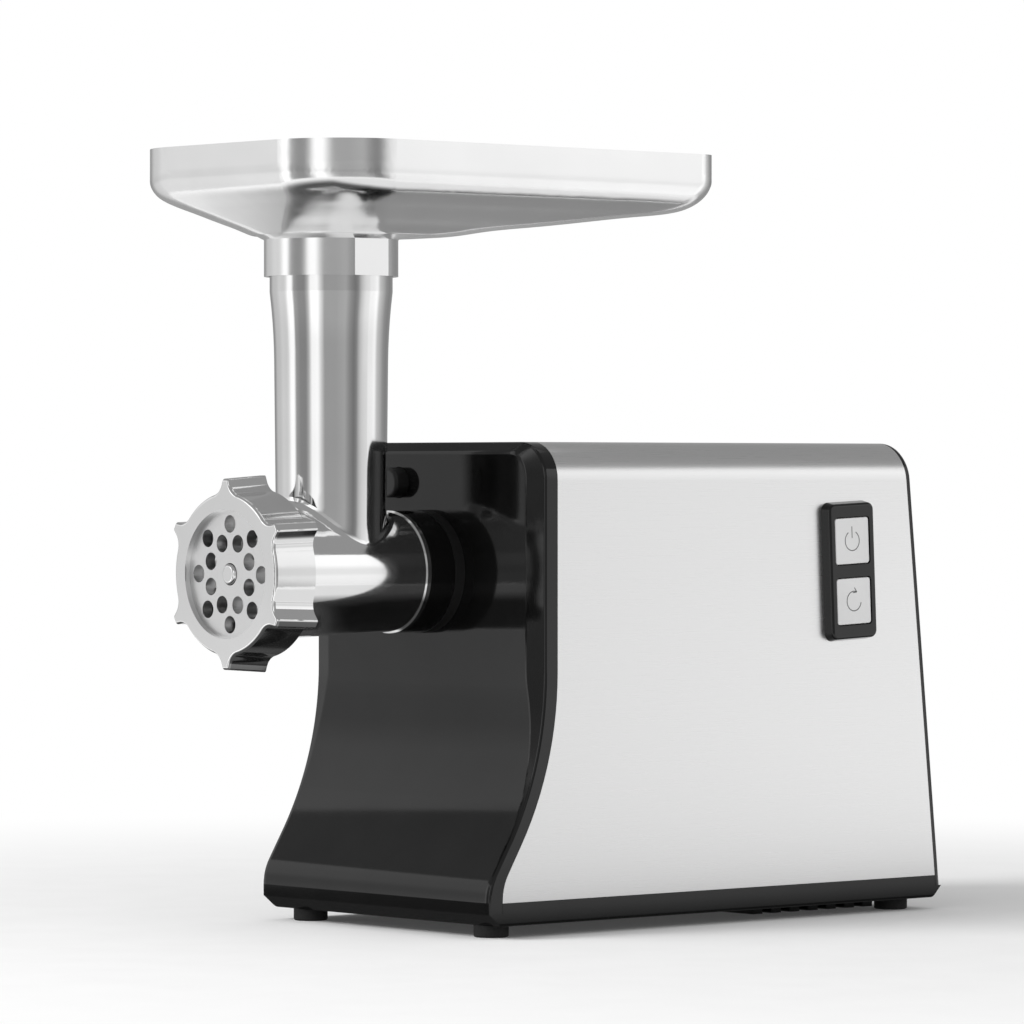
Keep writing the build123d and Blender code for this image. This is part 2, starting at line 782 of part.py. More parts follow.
with BuildPart() as base_plate:
    with BuildSketch(Plane.YZ):
        with BuildLine():
            Polyline(
                (pan_front_y, crease_z), (pan_front_y + base_front_slope, base_z),
                (pan_rear_y - base_rear_slope, base_z), (pan_rear_y, crease_z), close=True,
            )
        make_face()
    extrude(amount=half_width - base_inset, both=True)
    fillet(base_plate.edges().filter_by(Axis.Y).group_by(Axis.Z)[0], base_floor / 2)
    with BuildSketch(Plane.XY.offset(crease_z)):
        with Locations((0, (pan_front_y + pan_rear_y) / 2)):
            RectangleRounded(
                housing_width - 2 * (base_inset + cover_wall),
                pan_rear_y - pan_front_y - 2 * (base_front_slope + cover_wall),
                corner_radius,
            )
    extrude(amount=-(crease_z - base_z - base_floor), mode=Mode.SUBTRACT)
    with BuildSketch(Plane.XY.offset(base_z)):
        with Locations(*rib_places):
            RectangleRounded(rib_length, rib_width, rib_width / 4)
    extrude(amount=-rib_height)
    with BuildSketch(Plane.XY.offset(base_z + base_floor)):
        with Locations(*base_screws_at):
            Circle(boss_radius)
    extrude(amount=crease_z - base_z - base_floor)
    with BuildSketch(Plane.XY.offset(base_z)):
        with Locations(*vent_places):
            SlotOverall(rib_length, vent_width)
        with Locations(*foot_places):
            Circle(foot_spigot_radius + seat_gap)
        with Locations(*base_screws_at):
            Circle(screw_radius + seat_gap)
    extrude(amount=crease_z - base_z, mode=Mode.SUBTRACT)
    with BuildSketch(Plane.XY.offset(base_z)):
        with Locations(*base_screws_at):
            Circle(screw_head_radius + seat_gap)
    extrude(amount=screw_head_height, mode=Mode.SUBTRACT)

# Four rubber feet
with BuildPart() as feet:
    with BuildSketch(Plane.XY):
        with Locations(*foot_places):
            Circle(foot_radius)
    extrude(amount=base_z)
    fillet(feet.edges().group_by(Axis.Z)[0], foot_radius / 8)
    with BuildSketch(Plane.XY.offset(base_z)):
        with Locations(*foot_places):
            Circle(foot_spigot_radius)
    extrude(amount=foot_spigot_length)

# Base screws, up through the pan into the shell
with BuildPart() as base_screws:
    with BuildSketch(Plane.XY.offset(base_z)):
        with Locations(*base_screws_at):
            Circle(screw_head_radius)
    extrude(amount=screw_head_height)
    with BuildSketch(Plane.XY.offset(base_z + screw_head_height)):
        with Locations(*base_screws_at):
            Circle(screw_radius - running_gap)
    extrude(amount=base_screw_length)

# Control bezel with two openings
button_pitch = button_height + button_space
with BuildPart() as control_bezel:
    with BuildSketch(bezel_plane):
        RectangleRounded(bezel_width, bezel_height, bezel_corner)
    extrude(amount=bezel_rise, taper=bezel_draft)
    fillet(control_bezel.edges().group_by(Axis.X)[-1], bezel_edge)
    with BuildSketch(bezel_plane):
        Rectangle(skirt_width, skirt_height)
    extrude(amount=-(shell_depth + slip_gap))
    with BuildSketch(bezel_plane.offset(bezel_rise)):
        with GridLocations(0, button_pitch, 1, 2):
            RectangleRounded(
                button_width + 2 * slip_gap, button_height + 2 * slip_gap, button_corner + slip_gap
            )
    extrude(amount=-2 * (bezel_rise + shell_depth), mode=Mode.SUBTRACT)

# Switch board on the shell's posts, with one key switch behind each button
board_plane = bezel_plane.offset(board_x - half_width)
with BuildPart() as switch_board:
    with BuildSketch(board_plane):
        Rectangle(board_width, board_height)
    extrude(amount=-board_thickness)
    with BuildSketch(board_plane):
        with GridLocations(0, button_pitch, 1, 2):
            Rectangle(tact_size, tact_size)
    extrude(amount=tact_height)


def push_button(place):
    """Square key with a rear flange that keeps it in the bezel."""
    with BuildPart() as key:
        with BuildSketch(bezel_plane.offset(bezel_rise - button_set_back)):
            with Locations((0, place * button_pitch / 2)):
                RectangleRounded(button_width, button_height, button_corner)
        extrude(amount=-(bezel_rise - button_set_back + shell_depth + 2 * slip_gap))
        fillet(key.edges().group_by(Axis.X)[-1], button_corner / 3)
        with BuildSketch(bezel_plane.offset(-(shell_depth + 2 * slip_gap))):
            with Locations((0, place * button_pitch / 2)):
                Rectangle(button_width + 2 * button_flange, button_height + 2 * button_flange)
        extrude(amount=-button_flange_thickness)
    return key.part


power_button = push_button(1)
reverse_button = push_button(-1)

# Head socket and the matte ring round it
neck_radius = socket_radius - socket_wall
neck_outer = neck_radius - slip_gap
neck_inner = neck_outer - neck_wall
neck_end_y = socket_front_y + neck_length
socket_floor_y = neck_end_y + slip_gap
with BuildPart() as head_socket:
    turn(
        [
            (socket_front_y, neck_radius), (socket_front_y, socket_radius), (ring_front_y, socket_radius),
            (ring_front_y, socket_tail_radius), (inner_face_y, socket_tail_radius),
            (inner_face_y, socket_flange_radius), (inner_face_y + socket_flange, socket_flange_radius),
            (inner_face_y + socket_flange, socket_tail_radius), (case_front_y, socket_tail_radius),
            (case_front_y, neck_inner), (socket_floor_y, neck_inner), (socket_floor_y, neck_radius),
        ]
    )

with BuildPart() as socket_ring:
    tube(ring_front_y, panel_y, socket_ring_radius, socket_tail_radius + seat_gap)

# Lock button with its collar and the arm that reaches the socket
lock_front_y = panel_y - lock_reach
lock_distance = math.hypot(lock_x, lock_z - head_z)
lock_direction = math.degrees(math.atan2(lock_z - head_z, lock_x))
lock_arm_length = lock_distance - socket_tail_radius - 2 * slip_gap
with BuildPart() as lock_button:
    tube(lock_front_y, lock_arm_y, lock_radius, centre=(lock_x, lock_z))
    fillet(lock_button.edges().group_by(Axis.Y)[0], lock_radius / 4)
    tube(lock_collar_y, lock_arm_y, lock_radius + lock_collar, centre=(lock_x, lock_z))
    with BuildSketch(facing(lock_arm_y, (lock_x, lock_z))):
        with Locations(Rotation(0, 0, lock_direction + 180)):
            Rectangle(lock_arm_length, lock_arm_width, align=(Align.MIN, Align.CENTER))
        Circle(lock_radius)
    extrude(amount=-lock_arm_thickness)

# Grinding head: bell, barrel, neck and feed tube in one casting
flange_y = socket_front_y - head_flange
barrel_end_y = plate_y + bell_rear + bell_taper
plate_rear_y = plate_y + plate_thickness
chamber_end_y = plate_rear_y + chamber_depth
rear_wall_y = socket_front_y - barrel_rear_wall / 2
feed_plane = Plane(origin=(0, feed_y, 0), x_dir=(1, 0, 0), z_dir=(0, -1, 0))

with BuildPart() as meat_head:
    turn(
        [
            (plate_y + bell_front, 0), (plate_y + bell_front, bell_radius),
            (plate_y + bell_rear, bell_radius), (barrel_end_y, barrel_front_radius),
            (flange_y, barrel_rear_radius),
            (flange_y, head_flange_radius), (socket_front_y, head_flange_radius),
            (socket_front_y, neck_outer), (neck_end_y, neck_outer), (neck_end_y, 0),
        ]
    )
    with BuildSketch(feed_plane):
        with BuildLine():
            Line((0, head_z), (tube_foot_radius, head_z))
            Line((tube_foot_radius, head_z), (tube_waist_radius, tube_waist_z))
            TangentArc(
                (tube_waist_radius, tube_waist_z), (tube_band_radius, tube_flare_z),
                tangent=(tube_waist_radius - tube_foot_radius, tube_waist_z - head_z),
            )
            Polyline(
                (tube_band_radius, tube_flare_z), (tube_band_radius, tube_band_z),
                (collar_radius - tray_sheet - 2 * slip_gap, tube_band_z),
                (collar_radius - tray_sheet - 2 * slip_gap, tube_top_z), (0, tube_top_z), (0, head_z),
            )
        make_face()
    revolve(axis=Axis((0, feed_y, 0), (0, 0, 1)))
    root = meat_head.edges().filter_by(
        lambda e: abs(e.center().Y - feed_y) < tube_foot_radius
        and head_z < e.center().Z < head_z + barrel_front_radius
        and e.geom_type != GeomType.LINE
        and e.length > tube_foot_radius
    )
    fillet(root, tube_root_fillet)
    turn(
        [
            (plate_y + bell_front, 0), (plate_y + bell_front, plate_radius + slip_gap),
            (plate_rear_y, plate_radius + slip_gap), (plate_rear_y, chamber_radius),
            (chamber_end_y, chamber_radius), (chamber_end_y + chamber_radius - barrel_bore, barrel_bore),
            (rear_wall_y, barrel_bore), (rear_wall_y, journal_radius + slip_gap),
            (rear_wall_y + barrel_rear_wall, journal_radius + slip_gap),
            (rear_wall_y + barrel_rear_wall, neck_inner), (neck_end_y, neck_inner), (neck_end_y, 0),
        ],
        mode=Mode.SUBTRACT,
    )
    with BuildSketch(feed_plane):
        with BuildLine():
            Polyline(
                (0, head_z), (throat_foot_radius, head_z),
                (throat_foot_radius, throat_lead_z - throat_taper), (throat_radius, throat_lead_z),
                (throat_radius, tube_top_z), (0, tube_top_z), close=True,
            )
        make_face()
    revolve(axis=Axis((0, feed_y, 0), (0, 0, 1)), mode=Mode.SUBTRACT)

# Grinding plate with its ring of holes
with BuildPart() as grinding_plate:
    tube(plate_y, plate_rear_y, plate_radius, pin_radius + slip_gap)
    with BuildSketch(facing(plate_y, output_axis)):
        for ring_radius, first_angle in plate_hole_rings:
            with PolarLocations(ring_radius, plate_holes_per_ring, first_angle):
                Circle(plate_hole_radius)
    extrude(amount=-plate_thickness, mode=Mode.SUBTRACT)


def grip_outline(ring, tip, y):
    """Section of the ring nut: a ring with grips that flow into it, one grip at the top."""
    with BuildSketch(facing(y, output_axis)) as outline:
        Circle(ring)
        with PolarLocations(0, nut_lobes, 90):
            Polygon(
                (0, grip_foot + grip_spread), (ring - 2, grip_foot), (tip, grip_top),
                (tip, -grip_top), (ring - 2, -grip_foot), (0, -grip_foot - grip_spread), align=None,
            )
        fillet(outline.vertices().filter_by(lambda v: math.hypot(v.X, v.Y) < (ring + tip) / 2), grip_hollow)
        fillet(outline.vertices().filter_by(lambda v: math.hypot(v.X, v.Y) > tip - pick / 10), grip_corner)
    return outline.sketch.faces()[0]


# Ring nut: tapered ring with grips, bored for the thread
nut_front_y = plate_y - nut_lip
nut_rear_y = nut_front_y + nut_length
with BuildPart() as ring_nut:
    front_section = grip_outline(nut_ring_front, nut_tip_front, nut_front_y)
    rear_section = grip_outline(nut_ring_rear, nut_tip_rear, nut_rear_y)
    loft([front_section, rear_section], ruled=True)
    fillet(ring_nut.faces().sort_by(Axis.Y)[0].edges(), nut_edge)
    turn(
        [
            (nut_front_y, 0), (nut_front_y, nut_mouth_radius), (plate_y - running_gap, nut_mouth_radius),
            (plate_y - running_gap, bell_radius + thread_gap), (nut_rear_y, bell_radius + thread_gap),
            (nut_rear_y, 0),
        ],
        mode=Mode.SUBTRACT,
    )

# Cutting blade: four swept arms on a square hole
blade_y = plate_rear_y + running_gap
arm_side = 3 * blade_arm / 4  # leading side of an arm, off its spoke line
arm_reach = math.sqrt(blade_radius**2 - arm_side**2)
with BuildPart() as cutting_blade:
    with BuildSketch(facing(blade_y, output_axis)):
        Circle(blade_hub_radius)
        with PolarLocations(0, blade_arms):
            with Locations((0, arm_side)):
                Rectangle(arm_reach, blade_arm, align=(Align.MIN, Align.MAX))
        Rectangle(square_front + 2 * running_gap, square_front + 2 * running_gap, mode=Mode.SUBTRACT)
    extrude(amount=-blade_thickness)

# Auger: core, helical flight, square ends and the pin that shows through the plate
flight_radius = barrel_bore - auger_gap
auger_y = plate_y + auger_start
washer_y = rear_wall_y - slip_gap - washer_thickness
disc_y = washer_y - auger_disc
tail_end_y = socket_front_y + neck_length
flight_middle = (flight_radius + auger_core_radius - flight_root) / 2
flight_path = Helix(
    pitch=auger_pitch,
    height=disc_y - auger_y + 2 * auger_flight,
    radius=flight_middle,
    center=(0, auger_y - auger_flight, head_z),
    direction=(0, 1, 0),
)
flight_start = flight_path @ 0
with BuildPart() as flight:
    with BuildSketch(
        Plane(
            origin=flight_start,
            x_dir=(flight_start.X, 0, flight_start.Z - head_z),
            z_dir=flight_path % 0,
        )
    ):
        Rectangle(flight_radius - auger_core_radius + flight_root, auger_flight)
    sweep(path=flight_path, is_frenet=True)
    with BuildSketch(facing(auger_y, output_axis)):
        Circle(2 * barrel_bore)
    extrude(amount=-(disc_y + auger_disc / 2 - auger_y), mode=Mode.INTERSECT)

with BuildPart() as auger:
    with BuildSketch(facing(blade_y + blade_thickness, output_axis)):
        Circle(auger_core_radius)
    extrude(amount=-(washer_y - blade_y - blade_thickness))
    add(flight.part)
    tube(disc_y, washer_y, auger_disc_radius)
    tube(washer_y, rear_wall_y + barrel_rear_wall, journal_radius)
    tube(plate_y - pin_reach, blade_y, pin_radius)
    fillet(auger.edges().group_by(Axis.Y)[0], pin_radius / 3)
    with BuildSketch(facing(blade_y, output_axis)):
        Rectangle(square_front, square_front)
    extrude(amount=-blade_thickness)
    with BuildSketch(facing(rear_wall_y + barrel_rear_wall, output_axis)):
        Rectangle(square_tail, square_tail)
    extrude(amount=-(tail_end_y - rear_wall_y - barrel_rear_wall))

with BuildPart() as thrust_washer:
    tube(washer_y, washer_y + washer_thickness, auger_disc_radius, journal_radius + running_gap)

# Drive coupling, output shaft and output gear
coupling_y = socket_front_y + coupling_front
coupling_end_y = coupling_y + coupling_length
shaft_front_y = coupling_end_y - coupling_grip
with BuildPart() as drive_coupling:
    tube(coupling_y, coupling_end_y, coupling_radius)
    fillet(drive_coupling.edges().group_by(Axis.Y)[0], coupling_radius / 10)
    with BuildSketch(facing(coupling_y, output_axis)):
        Rectangle(square_tail + 2 * seat_gap, square_tail + 2 * seat_gap)
    extrude(amount=-(tail_end_y - coupling_y + slip_gap), mode=Mode.SUBTRACT)
    tube(shaft_front_y, coupling_end_y, shaft_radius + running_gap, mode=Mode.SUBTRACT)

with BuildPart() as output_shaft:
    tube(shaft_front_y, cover_rear_y + case_plate, shaft_radius)

with BuildPart() as output_gear:
    gear(row_3_y, row_3_width, module_3, output_teeth, mesh_angle_output, output_axis)
    tube(row_3_y, row_3_y + row_3_width, shaft_radius + running_gap, mode=Mode.SUBTRACT)

# Gears B and A, each a large wheel and a pinion in one piece, on fixed axles
gear_bore = axle_radius + running_gap
half_pinion_step = 180 / pinion_teeth
with BuildPart() as gear_b:
    gear(row_2_y, row_2_width, module_2, gear_b_teeth, mesh_angle_middle, axis_b)
    gear(
        row_3_y, row_2_y - row_3_y, module_3, pinion_teeth,
        mesh_angle_output + 180 + half_pinion_step, axis_b,
    )
    tube(row_2_y, case_rear_y - slip_gap, gear_hub_radius, centre=axis_b)
    tube(row_3_y, case_rear_y, gear_bore, centre=axis_b, mode=Mode.SUBTRACT)

with BuildPart() as gear_a:
    gear(row_1_y, row_1_width, module_1, gear_a_teeth, mesh_angle_motor, axis_a)
    gear(
        row_2_y, row_1_y - row_2_y, module_2, pinion_teeth,
        mesh_angle_middle + 180 + half_pinion_step, axis_a,
    )
    tube(case_front_y + case_plate + slip_gap, row_2_y, gear_hub_radius, centre=axis_a)
    tube(case_front_y + case_plate, case_rear_y, gear_bore, centre=axis_a, mode=Mode.SUBTRACT)

with BuildPart() as gear_axles:
    for axis in (axis_a, axis_b):
        tube(
            case_front_y + case_plate - axle_seat, case_rear_y + axle_seat, axle_radius, centre=axis
        )

# Gearbox case and cover
bush_radius = shaft_radius + running_gap + bush_wall
motor_bush_radius = motor_shaft_radius + running_gap + bush_wall
rod_places = [polar(motor_axis, stator_radius - stator_yoke / 2, side) for side in (0, 180)]


def case_outline(inset):
    """One smooth line round the gears."""
    for centre, radius in case_circles:
        with Locations(centre):
            Circle(radius - inset)
    make_hull()


with BuildPart() as gearbox_case:
    with BuildSketch(facing(case_front_y)):
        case_outline(0.0)
    extrude(amount=-(case_rear_y - case_front_y))
    with BuildSketch(facing(case_front_y)):
        with Locations(*lugs):
            Circle(lug_radius)
    extrude(amount=-case_plate)
    with BuildSketch(facing(case_front_y + case_plate)):
        case_outline(case_wall)
    extrude(amount=-(case_rear_y - case_front_y - case_plate), mode=Mode.SUBTRACT)
    tube(case_front_y, case_rear_y, bush_radius + running_gap, mode=Mode.SUBTRACT)
    for axis in (axis_a, axis_b):
        tube(
            case_front_y + case_plate - axle_seat, case_rear_y, axle_radius + running_gap,
            centre=axis, mode=Mode.SUBTRACT,
        )
    for lug in lugs:
        tube(case_front_y, case_rear_y, screw_radius + seat_gap, centre=lug, mode=Mode.SUBTRACT)

with BuildPart() as gearbox_cover:
    with BuildSketch(facing(case_rear_y)):
        for centre, radius in case_circles:
            with Locations(centre):
                Circle(radius)
        with Locations(motor_axis):
            Circle(stator_radius)
        make_hull()
    extrude(amount=-case_plate)
    tube(case_rear_y, case_rear_y + motor_bush_length, motor_bush_radius + bush_wall, centre=motor_axis)
    tube(case_rear_y, cover_rear_y, bush_radius + running_gap, mode=Mode.SUBTRACT)
    tube(
        case_rear_y, case_rear_y + motor_bush_length, motor_bush_radius + running_gap,
        centre=motor_axis, mode=Mode.SUBTRACT,
    )
    for axis in (axis_a, axis_b):
        tube(case_rear_y, case_rear_y + axle_seat, axle_radius + running_gap, centre=axis, mode=Mode.SUBTRACT)
    for place in rod_places:
        tube(case_rear_y, cover_rear_y, tie_rod_radius + running_gap, centre=place, mode=Mode.SUBTRACT)

with BuildPart() as output_bushes:
    tube(case_front_y, case_front_y + case_plate, bush_radius, shaft_radius + running_gap)
    tube(case_rear_y, cover_rear_y, bush_radius, shaft_radius + running_gap)

with BuildPart() as gearbox_screws:
    for lug in lugs:
        head_y = case_front_y + case_plate
        tube(head_y, head_y + screw_head_height, screw_head_radius, centre=lug)
        tube(inner_face_y, head_y, screw_radius - running_gap, centre=lug)

# Motor: stator with two poles, field coils, armature, commutator, brushes and fan
stator_bore = armature_radius + air_gap
yoke_bore = stator_radius - stator_yoke
stator_end_y = stator_y + stator_length
with BuildPart() as motor_stator:
    with BuildSketch(facing(stator_y, motor_axis)):
        Circle(stator_radius)
        Circle(yoke_bore, mode=Mode.SUBTRACT)
        Rectangle(pole_neck, 2 * yoke_bore + stator_yoke)
        Rectangle(pole_shoe, 2 * (stator_bore + pole_shoe_height))
        Circle(stator_bore, mode=Mode.SUBTRACT)
        with PolarLocations(stator_radius - stator_yoke / 2, 2):
            Circle(tie_rod_radius + seat_gap, mode=Mode.SUBTRACT)
    extrude(amount=-stator_length)

with BuildPart() as field_coils:
    for side in (-1, 1):
        coil_z = motor_axis[1] + side * (stator_bore + pole_shoe_height + seat_gap)
        coil_middle = (motor_axis[0], stator_y + stator_length / 2, coil_z)
        with BuildSketch(Plane(origin=coil_middle, z_dir=(0, 0, side))):
            RectangleRounded(
                pole_neck + 2 * (coil_side + seat_gap), stator_length + 2 * (coil_side + seat_gap), coil_side
            )
            Rectangle(pole_neck + 2 * seat_gap, stator_length + 2 * seat_gap, mode=Mode.SUBTRACT)
        extrude(amount=coil_height)

with BuildPart() as armature_core:
    with BuildSketch(facing(stator_y, motor_axis)):
        Circle(armature_radius)
        with PolarLocations(armature_radius, armature_slots):
            Rectangle(2 * slot_depth, slot_width, mode=Mode.SUBTRACT)
        Circle(motor_shaft_radius, mode=Mode.SUBTRACT)
    extrude(amount=-stator_length)

with BuildPart() as armature_windings:
    core_radius = motor_shaft_radius + bush_wall
    tube(stator_y - winding_length, stator_y, winding_radius, core_radius, motor_axis)
    tube(stator_end_y, stator_end_y + winding_length, winding_radius, core_radius, motor_axis)
    fillet(armature_windings.edges().filter_by(GeomType.CIRCLE).sort_by(Axis.Y)[:2], bush_wall / 2)

with BuildPart() as motor_shaft:
    tube(row_1_y, motor_shaft_end_y, motor_shaft_radius, centre=motor_axis)

with BuildPart() as motor_pinion:
    gear(
        row_1_y, row_1_width, module_1, pinion_teeth,
        mesh_angle_motor + 180 + half_pinion_step, motor_axis,
    )
    tube(row_1_y, row_1_y + row_1_width, motor_shaft_radius, centre=motor_axis, mode=Mode.SUBTRACT)

with BuildPart() as commutator:
    tube(commutator_y, commutator_y + commutator_length, commutator_radius, motor_shaft_radius, motor_axis)

# Rear bracket with brush boxes, the brushes, the motor bushes and the tie rods
brush_x = commutator_radius + slip_gap
with BuildPart() as motor_bracket:
    with BuildSketch(facing(bracket_y, motor_axis)):
        Rectangle(2 * (stator_radius - stator_yoke / 2), bracket_arm)
        with PolarLocations(stator_radius - stator_yoke / 2, 2):
            Circle(bracket_arm / 2)
        Circle(motor_bush_radius + bush_wall)
        Circle(motor_bush_radius + running_gap, mode=Mode.SUBTRACT)
        with PolarLocations(stator_radius - stator_yoke / 2, 2):
            Circle(tie_rod_radius + running_gap, mode=Mode.SUBTRACT)
    extrude(amount=-bracket_thickness)
    with BuildSketch(facing(bracket_y, motor_axis)):
        with PolarLocations(brush_x + (brush_length + brush_proud) / 2, 2):
            Rectangle(brush_length - brush_proud, brush_height + 2 * bush_wall)
            Rectangle(brush_length, brush_height + 2 * seat_gap, mode=Mode.SUBTRACT)
    extrude(amount=commutator_length)

brush_y = commutator_y + (commutator_length - brush_width) / 2
with BuildPart() as carbon_brushes:
    with BuildSketch(facing(brush_y, motor_axis)):
        with PolarLocations(brush_x + brush_length / 2, 2):
            Rectangle(brush_length, brush_height)
    extrude(amount=-brush_width)

with BuildPart() as motor_bushes:
    bush_bore = motor_shaft_radius + running_gap
    tube(case_rear_y, case_rear_y + motor_bush_length, motor_bush_radius, bush_bore, motor_axis)
    tube(bracket_y, bracket_y + bracket_thickness, motor_bush_radius, bush_bore, motor_axis)

with BuildPart() as motor_tie_rods:
    for place in rod_places:
        tube(case_rear_y, bracket_y + bracket_thickness, tie_rod_radius, centre=place)
        tube(
            bracket_y + bracket_thickness, bracket_y + bracket_thickness + screw_head_height,
            screw_head_radius, centre=place,
        )

with BuildPart() as cooling_fan:
    tube(fan_y, fan_y + fan_depth, fan_hub_radius, centre=motor_axis)
    tube(fan_y + fan_depth - fan_disc, fan_y + fan_depth, fan_radius, centre=motor_axis)
    with BuildSketch(facing(fan_y, motor_axis)):
        with PolarLocations(0, fan_blades):
            Rectangle(fan_radius, fan_blade, align=(Align.MIN, Align.CENTER))
    extrude(amount=-fan_depth)
    tube(fan_y, fan_y + fan_depth, motor_shaft_radius, centre=motor_axis, mode=Mode.SUBTRACT)


def bend_of(limit, edge_z, neck, neck_z, bend):
    """Slope of the funnel on one side of the tray, and the height of the bend's centre."""
    slope = (edge_z - neck_z) / (limit - neck)
    return slope, neck_z + slope * (limit - bend - neck) + bend * math.hypot(1, slope)


def pan_reach(z, limit, edge_z, neck, neck_z, bend):
    """How far one side of the tray reaches at a height: funnel, round bend, upright wall."""
    slope, centre_z = bend_of(limit, edge_z, neck, neck_z, bend)
    if z >= centre_z:
        return limit
    if z <= centre_z - bend / math.hypot(1, slope):
        return neck + (z - neck_z) / slope
    return limit - bend + math.sqrt(bend**2 - (centre_z - z) ** 2)


def pan(inset, neck, neck_z, rim_z):
    """Tray form: one smooth skin from the neck through the bend, and upright walls."""
    sides = [
        (limit - inset, tube_top_z + rise + inset, neck, neck_z, tray_bend - inset)
        for limit, rise in (
            (tray_front, tray_front_edge_rise),
            (tray_rear, tray_rear_edge_rise),
            (tray_half_width, tray_side_edge_rise),
        )
    ]
    wall_z = max(bend_of(*side)[1] for side in sides)
    heights = [neck_z + share * (wall_z - neck_z) for share in tray_levels]
    heights += [wall_z + rise for rise in wall_levels]
    round_neck = neck - neck_flat
    with BuildPart() as form:
        for z in heights:
            share = min((z - neck_z) / (wall_z - neck_z), 1.0)
            front, rear, half = [pan_reach(z, *side) for side in sides]
            front_corner = round_neck + share * (tray_front_corner - inset - round_neck)
            rear_corner = round_neck + share * (tray_rear_corner - inset - round_neck)
            with BuildSketch(Plane.XY.offset(z)) as plan:
                with Locations((0, feed_y + (rear - front) / 2)):
                    Rectangle(2 * half, front + rear)
                fillet(plan.vertices().group_by(Axis.Y)[0], front_corner)
                fillet(plan.vertices().group_by(Axis.Y)[-1], rear_corner)
        loft()
        extrude(form.faces().sort_by(Axis.Z)[-1], amount=rim_z - heights[-1])
    return form.part


# Hopper tray: pressed sheet with a collar that slips over the feed tube
tray_outer = pan(0.0, collar_radius, collar_top_z, tray_rim_z)
tray_inner = pan(tray_sheet, throat_radius + tray_sheet, collar_top_z + tray_sheet, tray_rim_z + overcut)
with BuildPart() as hopper_tray:
    add(tray_outer)
    with BuildSketch(Plane.XY.offset(collar_bottom_z)):
        with Locations((0, feed_y)):
            Circle(collar_radius)
            Rectangle(2 * collar_flat, 4 * collar_radius, mode=Mode.INTERSECT)
    extrude(amount=collar_top_z - collar_bottom_z)
    add(tray_inner, mode=Mode.SUBTRACT)
    with BuildSketch(Plane.XY.offset(collar_bottom_z)):
        with Locations((0, feed_y)):
            Circle(collar_radius - tray_sheet - slip_gap)
    extrude(amount=tube_top_z - collar_bottom_z, mode=Mode.SUBTRACT)
    with BuildSketch(Plane.XY.offset(collar_bottom_z)):
        with Locations((0, feed_y)):
            Circle(throat_radius + tray_sheet)
    extrude(amount=collar_length + 2 * tray_sheet, mode=Mode.SUBTRACT)

pieces = {
    "front_cover": front_cover.part,
    "steel_wrap": steel_wrap.part,
    "body_shell": body_shell.part,
    "rear_cover": rear_cover.part,
    "cord_gland": cord_gland.part,
    "base_plate": base_plate.part,
    "feet": feet.part,
    "base_screws": base_screws.part,
    "control_bezel": control_bezel.part,
    "switch_board": switch_board.part,
    "power_button": power_button,
    "reverse_button": reverse_button,
    "head_socket": head_socket.part,
    "socket_ring": socket_ring.part,
    "lock_button": lock_button.part,
    "meat_head": meat_head.part,
    "grinding_plate": grinding_plate.part,
    "ring_nut": ring_nut.part,
    "cutting_blade": cutting_blade.part,
    "auger": auger.part,
    "thrust_washer": thrust_washer.part,
    "drive_coupling": drive_coupling.part,
    "output_shaft": output_shaft.part,
    "output_gear": output_gear.part,
    "gear_b": gear_b.part,
    "gear_a": gear_a.part,
    "gear_axles": gear_axles.part,
    "gearbox_case": gearbox_case.part,
    "gearbox_cover": gearbox_cover.part,
    "output_bushes": output_bushes.part,
    "gearbox_screws": gearbox_screws.part,
    "motor_stator": motor_stator.part,
    "field_coils": field_coils.part,
    "armature_core": armature_core.part,
    "armature_windings": armature_windings.part,
    "motor_shaft": motor_shaft.part,
    "motor_pinion": motor_pinion.part,
    "commutator": commutator.part,
    "motor_bracket": motor_bracket.part,
    "carbon_brushes": carbon_brushes.part,
    "motor_bushes": motor_bushes.part,
    "motor_tie_rods": motor_tie_rods.part,
    "cooling_fan": cooling_fan.part,
    "hopper_tray": hopper_tray.part,
}
for name, piece in pieces.items():
    piece.label = name
    export_step(piece, f"parts/{name}.step")
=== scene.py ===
"""Looks of the electric meat grinder: finishes, small details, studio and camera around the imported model.

Metres, +Z up, front of the machine towards -Y, push buttons on the +X side.
"""

import json
import math

import bmesh
import bpy
from mathutils import Matrix, Vector


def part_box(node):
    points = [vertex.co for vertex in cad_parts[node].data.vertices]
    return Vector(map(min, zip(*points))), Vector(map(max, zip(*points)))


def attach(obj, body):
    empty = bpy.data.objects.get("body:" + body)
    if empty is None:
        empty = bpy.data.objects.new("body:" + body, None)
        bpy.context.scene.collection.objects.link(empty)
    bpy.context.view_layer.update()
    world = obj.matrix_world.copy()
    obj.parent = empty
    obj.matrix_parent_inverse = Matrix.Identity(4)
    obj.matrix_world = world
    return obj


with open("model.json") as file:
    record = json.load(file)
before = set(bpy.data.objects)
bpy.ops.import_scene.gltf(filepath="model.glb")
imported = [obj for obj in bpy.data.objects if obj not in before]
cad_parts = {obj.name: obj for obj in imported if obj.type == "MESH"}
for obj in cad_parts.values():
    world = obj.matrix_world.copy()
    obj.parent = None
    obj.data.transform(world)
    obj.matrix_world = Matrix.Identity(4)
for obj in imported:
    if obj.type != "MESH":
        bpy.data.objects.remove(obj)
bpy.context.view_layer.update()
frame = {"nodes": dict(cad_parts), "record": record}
nodes = frame["nodes"]
scene = bpy.context.scene
mm = 0.001

# Camera, as the photograph was taken
camera_place = (1.8633, -1.64055, 0.1946)
camera_turn = 48.9  # degrees about Z
camera_tilt = 89.607  # degrees up from straight down
camera_lens = 200.0
camera_sensor = 36.0

# Places on the machine
head_z = 152.4 * mm
button_tilt = 2.5  # degrees, of the button panel about X

